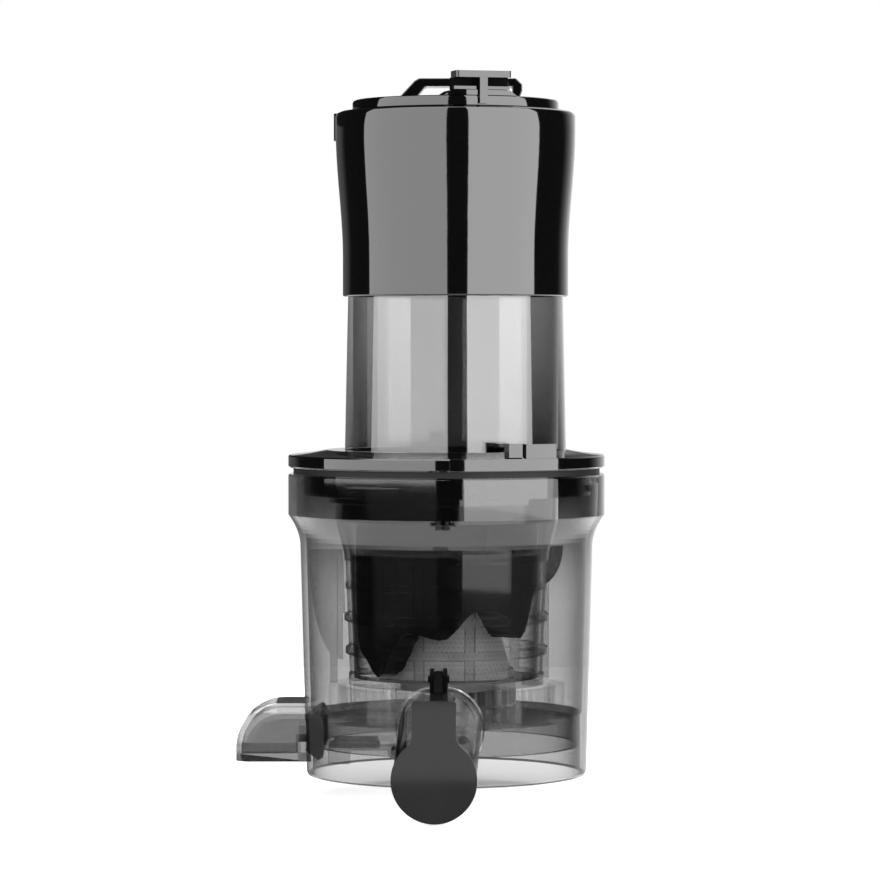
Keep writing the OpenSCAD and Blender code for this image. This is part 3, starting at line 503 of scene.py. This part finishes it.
def add_floor():
    """A pale round table top under the lowest point."""
    shape = bmesh.new()
    bmesh.ops.create_circle(shape, cap_ends=True, segments=FLOOR_SIDES, radius=FLOOR_R)
    mesh = mesh_of("floor", shape)
    mesh.transform(Matrix.Translation((0, 0, cad_low.z - FLOOR_GAP)))
    floor = new_object("floor", mesh)
    material, board = new_material("table_top")
    lit = board.add("ShaderNodeBsdfDiffuse", {"Color": grey(FLOOR_COLOUR)})
    straight, passed = camera_rays(board)
    strength = straight * (FLOOR_GLOW - passed * FLOOR_DIM)
    glow = board.add("ShaderNodeEmission", {"Color": grey(1), "Strength": strength})
    finish_material(material, board, board.add("ShaderNodeAddShader", {0: lit, 1: glow}))
    mesh.materials.append(material)
    floor.visible_glossy = False


# ---- pieces that the frame's nodes don't have ----

# The drum's tapered wall, at its lower rim and from there up to the shoulder
DRUM_R = 0.056
DRUM_TAPER = 0.0024 / 0.091
# The spout: its direction from +X, its slope, and where its axis leaves the drum
SPOUT_TURN = math.radians(-92.8)
SPOUT_TILT = math.radians(19.4)
SPOUT_ROOT = Vector((DRUM_R * math.cos(SPOUT_TURN), DRUM_R * math.sin(SPOUT_TURN), 0.0226))
# Angle past which an edge is sharp
SHARP = math.radians(35)


def drum_out(z):
    """Outer radius of the drum's tapered wall."""
    return DRUM_R + DRUM_TAPER * z


def new_piece(name, mesh, body, material):
    """A finished piece, smooth where it is round, that rides on a body."""
    piece = new_object(name, mesh)
    mesh.materials.clear()
    mesh.materials.append(material)
    for face in mesh.polygons:
        face.use_smooth = True
    mesh.set_sharp_from_angle(angle=SHARP)
    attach(piece, body)


def closed_sweep(name, rings):
    """A closed band of rings of points that follow each other round, with its faces outwards."""
    shape = bmesh.new()
    rows = [[shape.verts.new(point) for point in ring] for ring in rings]
    for row, after in zip(rows, rows[1:] + rows[:1]):
        for i, corner in enumerate(row):
            j = (i + 1) % len(row)
            shape.faces.new((corner, after[i], after[j], row[j]))
    bmesh.ops.recalc_face_normals(shape, faces=shape.faces)
    return mesh_of(name, shape)


def full_turn(steps):
    """Evenly spaced angles round a circle."""
    return [2 * math.pi * i / steps for i in range(steps)]


BEAD_R = 0.0004
BEAD_STEPS = 72
BEAD_SIDES = 8
# Slides along the spout that bring a point onto the drum's wall
BEAD_SLIDES = 8


def spout_fillet(material):
    """Bead where the spout's tube meets the drum's wall."""
    low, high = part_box("juice_spout")
    tube_r = (high.x - low.x) / 2
    out = Vector((math.cos(SPOUT_TURN), math.sin(SPOUT_TURN), 0))
    across = Vector((-math.sin(SPOUT_TURN), math.cos(SPOUT_TURN), 0))
    along = out * math.cos(SPOUT_TILT) - Vector((0, 0, math.sin(SPOUT_TILT)))
    up = along.cross(across)
    rings = []
    for turn in full_turn(BEAD_STEPS):
        away = across * math.cos(turn) + up * math.sin(turn)
        point = SPOUT_ROOT + away * tube_r
        for _ in range(BEAD_SLIDES):
            short = drum_out(point.z) - math.hypot(point.x, point.y)
            point = point + along * (short / math.cos(SPOUT_TILT))
        from_axis = Vector((point.x, point.y, 0)).normalized()
        rings.append(
            [
                point + (away * math.cos(a) + from_axis * math.sin(a)) * BEAD_R
                for a in full_turn(BEAD_SIDES)
            ]
        )
    new_piece("spout_fillet", closed_sweep("spout_fillet", rings), "drum", material)


CORNER_STEPS = 6


def rounded_outline(width, low, high, radius):
    """Points of a rectangle with round corners, centred across its width."""
    corners = (
        (width / 2 - radius, high - radius, 0),
        (radius - width / 2, high - radius, 90),
        (radius - width / 2, low + radius, 180),
        (width / 2 - radius, low + radius, 270),
    )
    points = []
    for x, y, start in corners:
        for k in range(CORNER_STEPS + 1):
            a = math.radians(start + 90 * k / CORNER_STEPS)
            points.append((x + radius * math.cos(a), y + radius * math.sin(a)))
    return points


FLANGE_THICK = 0.0009
FLANGE_LIFT = 0.00005


def flange_outline(width_share, low_inset, high_inset, radius):
    """An edge of the flange, from the chute's width, its lip and its top."""
    low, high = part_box("pulp_chute")
    width = high.y - low.y
    return rounded_outline(width * width_share, low.z + low_inset, high.z - high_inset, radius)


def chute_flange(material):
    """Flange round the chute's root, wrapped round the drum's wall."""
    outer = flange_outline(width_share=1.8, low_inset=0.0017, high_inset=0.0035, radius=0.004)
    inner = flange_outline(width_share=0.8, low_inset=0.004, high_inset=0.0065, radius=0.003)

    def wrap(point, lift):
        turn = math.pi + point[0] / DRUM_R
        r = drum_out(point[1]) + lift
        return Vector((r * math.cos(turn), r * math.sin(turn), point[1]))

    rings = [
        [
            wrap(far, FLANGE_LIFT),
            wrap(far, FLANGE_THICK),
            wrap(near, FLANGE_THICK),
            wrap(near, FLANGE_LIFT),
        ]
        for far, near in zip(outer, inner)
    ]
    new_piece("chute_flange", closed_sweep("chute_flange", rings), "drum", material)


# The perforation tree's inputs, and the sides of its small round holes
PERFORATION = {
    "Holes in a row": "NodeSocketInt",
    "Rows": "NodeSocketInt",
    "Low height": "NodeSocketFloat",
    "High height": "NodeSocketFloat",
    "Low radius": "NodeSocketFloat",
    "High radius": "NodeSocketFloat",
    "Hole radius": "NodeSocketFloat",
    "Material": "NodeSocketMaterial",
}
HOLE_SIDES = 8


def perforation_tree():
    """Nodes that set rows of small round holes round a cone, each row half a step on."""
    tree = bpy.data.node_groups.new("perforation", "GeometryNodeTree")
    tree.interface.new_socket("Geometry", in_out="OUTPUT", socket_type="NodeSocketGeometry")
    for name, kind in PERFORATION.items():
        tree.interface.new_socket(name, in_out="INPUT", socket_type=kind)
    board = Board(tree)
    start = board.add("NodeGroupInput")
    holes, rows, low_z, high_z, low_r, high_r, hole_r, material = map(start.sibling, PERFORATION)
    index = board.add("GeometryNodeInputIndex")
    row = (index / holes).math("FLOOR")
    place = index - row * holes
    turn = (place + row * 0.5) / holes * (2 * math.pi)
    up = row / (rows - 1)
    radius = low_r + (high_r - low_r) * up
    height = low_z + (high_z - low_z) * up
    x, y = turn.math("COSINE"), turn.math("SINE")
    outward = board.add("ShaderNodeCombineXYZ", {0: x, 1: y, 2: 0.0})
    point = board.add("ShaderNodeCombineXYZ", {0: x * radius, 1: y * radius, 2: height})
    points = board.add("GeometryNodePoints", {"Count": holes * rows, "Position": point})
    disc_values = {"Vertices": HOLE_SIDES, "Radius": hole_r}
    disc = board.add("GeometryNodeMeshCircle", disc_values, fill_type="NGON")
    facing = board.add("FunctionNodeAlignRotationToVector", {"Vector": outward}, axis="Z")
    copy_values = {"Points": points, "Instance": disc, "Rotation": facing}
    copies = board.add("GeometryNodeInstanceOnPoints", copy_values)
    solid = board.add("GeometryNodeRealizeInstances", {"Geometry": copies})
    done = board.add("GeometryNodeSetMaterial", {"Geometry": solid, "Material": material})
    board.add("NodeGroupOutput", {0: done})
    return tree


# How far the rows of holes keep from the screen's ends, and how much narrower the lowest row is
SCREEN_MARGIN = 0.002
SCREEN_TAPER = 0.00182


def screen_holes(material):
    """Perforations of the strainer's screen, as thin discs on its outer face."""
    low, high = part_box("strainer_screen")
    radius = (high.x - low.x) / 2
    values = {
        "Holes in a row": 128,
        "Rows": 26,
        "Low height": low.z + SCREEN_MARGIN,
        "High height": high.z - SCREEN_MARGIN,
        "Low radius": radius - SCREEN_TAPER,
        "High radius": radius,
        "Hole radius": 0.00042,
        "Material": material,
    }
    maker = new_object("maker", bpy.data.meshes.new("screen_holes"))
    modifier = maker.modifiers.new("perforation", "NODES")
    modifier.node_group = perforation_tree()
    for socket in modifier.node_group.interface.items_tree:
        if socket.in_out == "INPUT":
            modifier[socket.identifier] = values[socket.name]
    evaluated = maker.evaluated_get(bpy.context.evaluated_depsgraph_get())
    holes = bpy.data.meshes.new_from_object(evaluated)
    bpy.data.objects.remove(maker)
    new_piece("screen_holes", holes, "drum", material)


def add_pieces():
    spout_fillet(smoked("smoke_bead", tint=0.9, edge_tint=0.9, mirror=0.35))
    screen_holes(smoked("hole_shade", tint=0.86, edge_tint=0.86, mirror=0.005, glance=0.1))
    chute_flange(moulded("flange_grey", colour=0.03, rough=0.3, ior=1.5))


# ---- finishes of the frame's nodes ----

# Gloss black, which the cover, the hopper and the lid share
GLOSS = {"colour": BLACK, "rough": 0.04, "ior": 2.0, "ripple": 0.5}
# Height of the dark line along the drum's lower rim, where the wall is seen edge on
DRUM_LINE = 0.0008
# The spout's left wall, which is painted darker as painted shade
SPOUT_EDGE = -0.0152
# The chute: depths of its flat top, painted black as painted shade where its top wall is seen
# edge on, its sloping top and its lower lip, and its wall beside the drum, up to a height over
# the lip and from a place to the right
CHUTE_FLAT = 0.0002
CHUTE_SLOPE = 0.004
CHUTE_LIP = 0.004
CHUTE_ROOT_TOP = 0.011
CHUTE_ROOT = -DRUM_R - 0.0037
# Heights of the strainer's foot, the foot of its rim, and the top of the wiper's ring
STRAINER_FOOT = 0.0385
STRAINER_RIM = 0.1018
WIPER_RING = 0.0365
# The latch: its block's distance from the lid's axis, its direction and its plate's thickness; the
# block under the plate is painted dull black as painted shade
LID_X = 0.0036
LATCH_BLOCK = 0.0395
LATCH_TURN = 14.5
LATCH_PLATE = 0.0026
# The cap: its plate's depth, and the sides of the stem behind it, which is painted dull black as
# painted shade
CAP_PLATE = 0.0032
CAP_STEM = (-0.0062, -0.0012)


def paint(material, *names):
    """Gives the material to carried-over nodes."""
    for name in names:
        nodes[name].material_slots[0].material = material


def paint_drum():
    line = (below(DRUM_LINE), 0.3)
    drum = smoked("smoke_clear", tint=0.82, edge_tint=0.3, mirror=0.055, zones=[line])
    paint(drum, "drum_shell", "drum_deck")
    trough = smoked("smoke_trough", tint=0.95, edge_tint=0.9, mirror=0.01, glance=0.1)
    paint(trough, "pulp_trough")
    lever = smoked("smoke_lever", tint=0.84, edge_tint=0.7, mirror=0.02, glance=0.2)
    paint(lever, "plug_lever")
    # Painted shade: the spout's left wall lets less through than the rest of it.
    edge = (left_of(SPOUT_EDGE), 0.25)
    spout = smoked("smoke_spout", tint=0.85, edge_tint=0.1, mirror=0.055, zones=[edge])
    paint(spout, "juice_spout")
    tube = smoked("smoke_tube", tint=0.74, edge_tint=0.4, mirror=0.11)
    paint(tube, "feed_tube")


def paint_chute():
    low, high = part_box("pulp_chute")
    zones = [
        (above(high.z - CHUTE_SLOPE), 0.97),
        (below(low.z + CHUTE_LIP), 0.5),
        (both(below(low.z + CHUTE_ROOT_TOP), right_of(CHUTE_ROOT)), 0.5),
    ]
    chute = smoked(
        "smoke_chute",
        tint=0.64,
        edge_tint=0.2,
        mirror=0.045,
        # Painted shade: the flat top is black, where the top wall is seen edge on.
        dark_zone=above(high.z - CHUTE_FLAT),
        zones=zones,
    )
    paint(chute, "pulp_chute")


def paint_strainer():
    strainer = smoked(
        "smoke_strainer",
        tint=0.95,
        edge_tint=0.03,
        mirror=0.015,
        edge_power=3,
        dark_zone=above(STRAINER_RIM),
        zones=[(below(STRAINER_FOOT), 0.96)],
    )
    paint(strainer, "strainer_frame", "strainer_screen")
    arms = (above(WIPER_RING), 0.8)
    wiper = smoked("smoke_wiper", tint=0.97, edge_tint=0.9, mirror=0.01, glance=0.15, zones=[arms])
    paint(wiper, "wiper_ring", "auger_gear")
    short_blade = (right_of(0.0), 0.35)
    blades = smoked("silicone_smoke", tint=0.8, edge_tint=0.5, mirror=0.02, zones=[short_blade])
    paint(blades, "wiper_blades")


def paint_auger():
    screw = moulded("auger_black", colour=0.002, rough=0.3, ior=1.25, ripple=0.3, grain=0.1)
    paint(screw, "auger_screw")
    core = moulded("auger_grey", colour=0.52, rough=0.3, ior=1.5, ripple=0.2, grain=0.1)
    paint(core, "auger_core")
    paint(moulded("gear_plastic", colour=0.5, rough=0.35, ior=1.5, grain=0.2), "idler_gear")


def paint_black_pieces():
    gloss = moulded("black_gloss", **GLOSS)
    paint(gloss, "cover_plate", "lock_tab", "hopper_sleeve")
    paint(gloss, "lid_disc", "lid_grip", "latch_housing")
    # Painted shade: the latch's block under its plate is dull black, for the shade under the plate.
    plate_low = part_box("lid_latch")[1].z - LATCH_PLATE
    shade_under_plate = both(nearer_axis(LATCH_BLOCK, LATCH_TURN, LID_X), below(plate_low))
    paint(moulded("latch_gloss", **GLOSS, dark_zone=shade_under_plate), "lid_latch")
    matt = moulded("black_matt", colour=BLACK, rough=0.5, ior=1.15, grain=0.4)
    paint(matt, "spout_hinge_post", "spout_hinge_pin")
    # Painted shade: the stem behind the cap's plate is dull black, for the shaded side of the stem.
    stem_left, stem_right = CAP_STEM
    cap_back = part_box("spout_cap")[0].y + CAP_PLATE
    stem = both(behind(cap_back), both(right_of(stem_left), left_of(stem_right)))
    cap = moulded("cap_grey", colour=0.022, rough=0.06, ior=2.0, ripple=0.5, dark_zone=stem)
    paint(cap, "spout_cap")


def paint_small_pieces():
    steel = brushed("steel", colour=0.6, rough=0.25)
    paint(steel, "auger_shaft", "idler_pin", "plug_hinge_pin", "lid_hinge_pin", "latch_pin")
    paint(rubber("silicone_pale", colour=0.6, rough=0.35, clear=0.6), "shaft_seal")
    paint(rubber("silicone_grey", colour=0.3, rough=0.45, clear=0.6), "pulp_plug")
    seal = rubber("silicone_black", colour=0.01, rough=0.4)
    paint(seal, "cover_gasket", "lid_gasket", "spout_cap_seal")


# ---- rounded edges ----

# Points this near are one point, and faces this near to level are one face
WELD = 1e-6
LEVEL = math.radians(0.05)
# Widths of the edges of moulded pieces, from the cap down to the large thin ones
CAP_EDGE = 0.0007
SMALL_EDGE = 0.0004
THIN_EDGE = 0.0003


def plain_normals():
    """Nodes that drop a mesh's stored normals, which don't fit once its edges are rounded."""
    tree = bpy.data.node_groups.new("plain_normals", "GeometryNodeTree")
    for way in ("INPUT", "OUTPUT"):
        tree.interface.new_socket("Geometry", in_out=way, socket_type="NodeSocketGeometry")
    board = Board(tree)
    start = board.add("NodeGroupInput")
    drop = board.add("GeometryNodeRemoveAttribute", {"Geometry": start, "Name": "custom_normal"})
    board.add("NodeGroupOutput", {0: drop})
    return tree


def soften(width, *names):
    """Rounds the sharp edges of carried-over nodes, so that they catch the light."""
    tree = plain_normals()
    for name in names:
        modifiers = nodes[name].modifiers
        modifiers.new("plain", "NODES").node_group = tree
        weld = modifiers.new("weld", "WELD")
        weld.merge_threshold = WELD
        flatten = modifiers.new("flatten", "DECIMATE")
        flatten.decimate_type = "DISSOLVE"
        flatten.angle_limit = LEVEL
        bevel = modifiers.new("round", "BEVEL")
        bevel.width = width
        bevel.segments = 2
        bevel.limit_method = "ANGLE"
        bevel.angle_limit = SHARP
        bevel.harden_normals = True


def soften_edges():
    soften(CAP_EDGE, "spout_cap", "spout_hinge_post")
    lid_pieces = ("lid_disc", "lid_grip", "lid_latch", "latch_housing")
    soften(SMALL_EDGE, *lid_pieces, "lock_tab", "plug_lever", "pulp_chute")
    soften(THIN_EDGE, "cover_plate", "hopper_sleeve")


# ---- putting it together ----

add_camera()
add_studio()
add_floor()
paint_drum()
paint_chute()
paint_strainer()
paint_auger()
paint_black_pieces()
paint_small_pieces()
soften_edges()
add_pieces()

bpy.context.view_layer.update()
